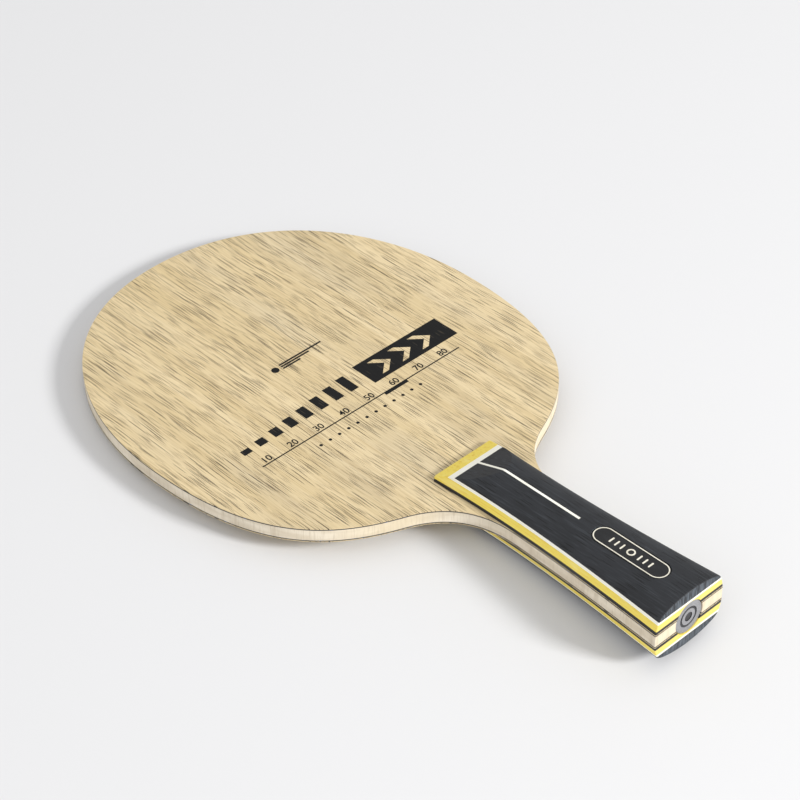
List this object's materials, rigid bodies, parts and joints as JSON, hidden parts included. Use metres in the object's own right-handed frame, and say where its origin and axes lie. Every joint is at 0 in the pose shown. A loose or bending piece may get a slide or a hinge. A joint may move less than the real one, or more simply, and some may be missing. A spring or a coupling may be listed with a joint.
{
  "type": "table tennis paddle",
  "caption": "Bare table tennis paddle blade: an oval laminated wooden head and a flared, crowned handle built up from coloured veneers, with an inlaid badge and a round disc in the butt.",
  "frame": {"origin": "centre of the whole blade: half its overall length, on its centre line, at the middle of the core ply", "axes": "+X from the head's tip to the butt of the handle, +Y across the blade, +Z out of the front face, the one with the badge and the prints"},
  "size_m": [0.257, 0.15, 0.0226],
  "materials": {
    "face_wood": "sanded open-pored limba-like face veneer, unvarnished, with short dark pores along the handle axis",
    "core_wood": "sanded plain edge and butt of the pale core and under plies",
    "fibre": "thin woven grey fibre ply, seen only as a line in the edge",
    "black_wood": "black dyed veneer, satin",
    "yellow_wood": "yellow dyed veneer, satin",
    "white_wood": "off-white dyed veneer, satin",
    "charcoal_wood": "charcoal dyed open-pored wood, satin",
    "badge": "black moulded plate with a light raised rim line",
    "disc": "fine satin aluminium with a dark engraved shape"
  },
  "bodies": {
    "root": {"core_ply": "core_wood", "inner_ply_front": "core_wood", "fibre_ply_front": "fibre", "face_ply_front": "face_wood", "handle_black_layer_front": "black_wood", "handle_yellow_layer_front": "yellow_wood", "handle_white_layer_front": "white_wood", "handle_body_front": "charcoal_wood", "stripe_inlay_front": "white_wood", "inner_ply_back": "core_wood", "fibre_ply_back": "fibre", "face_ply_back": "face_wood", "handle_black_layer_back": "black_wood", "handle_yellow_layer_back": "yellow_wood", "handle_white_layer_back": "white_wood", "handle_body_back": "charcoal_wood", "stripe_inlay_back": "white_wood", "badge_plate": "badge", "butt_disc": "disc"}
  },
  "joints": []
}
